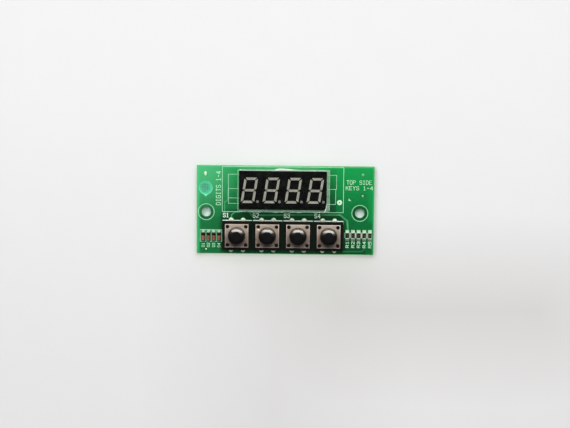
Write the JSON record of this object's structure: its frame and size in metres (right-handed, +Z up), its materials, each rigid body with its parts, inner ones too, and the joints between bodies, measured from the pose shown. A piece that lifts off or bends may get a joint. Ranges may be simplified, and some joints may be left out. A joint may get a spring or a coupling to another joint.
{
  "type": "digit display and keypad board",
  "caption": "Green circuit board carrying a lit-bar digit display, a row of push buttons, small chip parts, two screw holes and a ribbon connector.",
  "frame": {"origin": "under the middle of the board, on the plane that the pin tips stand on", "axes": "+X along the board towards the chip resistors, +Y towards the edge behind the display, +Z up out of the component side"},
  "size_m": [0.074, 0.037, 0.0114],
  "materials": {
    "laminate": "glass-fibre laminate under a glossy green solder mask",
    "tinned_copper": "tinned copper, uneven and bright",
    "solder": "smooth bright solder",
    "display_plastic": "moulded, pale grey",
    "display_ink": "black printed face, satin",
    "display_laminate": "bare laminate",
    "led_chip": "bare die",
    "light_pipe_resin": "milky diffusing resin",
    "tinned_pin": "tinned wire",
    "clear_film": "clear protective film, wavy and dusty at its edges",
    "switch_plastic": "black moulded, fine grain",
    "button_plastic": "black moulded, satin gloss",
    "cover_steel": "brushed stamped sheet",
    "dome_steel": "polished spring sheet",
    "contact_brass": "silver-plated brass",
    "resistor_ceramic": "fired alumina",
    "resistor_glaze": "dark overglaze",
    "chip_end_plating": "plated tin",
    "diode_glass": "clear glass tube",
    "band_paint": "black printed band",
    "slug_copper": "copper-clad slug seen through the glass",
    "sticker_paper": "thin round paper sticker, satin",
    "connector_plastic": "moulded, ivory",
    "lock_bar_plastic": "moulded, brown",
    "ribbon_contact_brass": "plated spring brass",
    "anchor_steel": "tinned sheet"
  },
  "bodies": {
    "board": {"circuit_board": "laminate", "plated_holes": "tinned_copper", "surface_pads": "tinned_copper", "test_pads": "tinned_copper", "display_case": "display_plastic", "display_face": "display_ink", "display_substrate": "display_laminate", "led_dies": "led_chip", "digit_1": "light_pipe_resin", "digit_2": "light_pipe_resin", "digit_3": "light_pipe_resin", "digit_4": "light_pipe_resin", "display_pins": "tinned_pin", "display_solder_joints": "solder", "display_film": "clear_film", "switch_1_base": "switch_plastic", "switch_2_base": "switch_plastic", "switch_3_base": "switch_plastic", "switch_4_base": "switch_plastic", "switch_1_cover": "cover_steel", "switch_2_cover": "cover_steel", "switch_3_cover": "cover_steel", "switch_4_cover": "cover_steel", "switch_1_dome": "dome_steel", "switch_2_dome": "dome_steel", "switch_3_dome": "dome_steel", "switch_4_dome": "dome_steel", "switch_1_contacts": "contact_brass", "switch_2_contacts": "contact_brass", "switch_3_contacts": "contact_brass", "switch_4_contacts": "contact_brass", "switch_solder_joints": "solder", "resistor_bodies": "resistor_ceramic", "resistor_coats": "resistor_glaze", "resistor_end_caps": "chip_end_plating", "diode_glass": "diode_glass", "diode_end_caps": "chip_end_plating", "diode_bands": "band_paint", "diode_slugs": "slug_copper", "chip_solder_fillets": "solder", "inspection_sticker": "sticker_paper", "ribbon_housing": "connector_plastic", "ribbon_contacts": "ribbon_contact_brass", "ribbon_anchor_tabs": "anchor_steel"},
    "button_1": {"switch_1_plunger": "button_plastic"},
    "button_2": {"switch_2_plunger": "button_plastic"},
    "button_3": {"switch_3_plunger": "button_plastic"},
    "button_4": {"switch_4_plunger": "button_plastic"},
    "lock_bar": {"ribbon_lock_bar": "lock_bar_plastic"}
  },
  "joints": [
    {"name": "button_1_press", "type": "slide", "parent": "board", "child": "button_1", "axis": [0, 0, -1], "range_m": [0, 0.0003], "stiffness_N_per_m": 4000, "springref_m": -0.0001, "deforming": ["switch_1_dome"]},
    {"name": "button_2_press", "type": "slide", "parent": "board", "child": "button_2", "axis": [0, 0, -1], "range_m": [0, 0.0003], "stiffness_N_per_m": 4000, "springref_m": -0.0001, "deforming": ["switch_2_dome"]},
    {"name": "button_3_press", "type": "slide", "parent": "board", "child": "button_3", "axis": [0, 0, -1], "range_m": [0, 0.0003], "stiffness_N_per_m": 4000, "springref_m": -0.0001, "deforming": ["switch_3_dome"]},
    {"name": "button_4_press", "type": "slide", "parent": "board", "child": "button_4", "axis": [0, 0, -1], "range_m": [0, 0.0003], "stiffness_N_per_m": 4000, "springref_m": -0.0001, "deforming": ["switch_4_dome"]},
    {"name": "lock_bar_pull", "type": "slide", "parent": "board", "child": "lock_bar", "axis": [0, 1, 0], "range_m": [0, 0.001]}
  ]
}
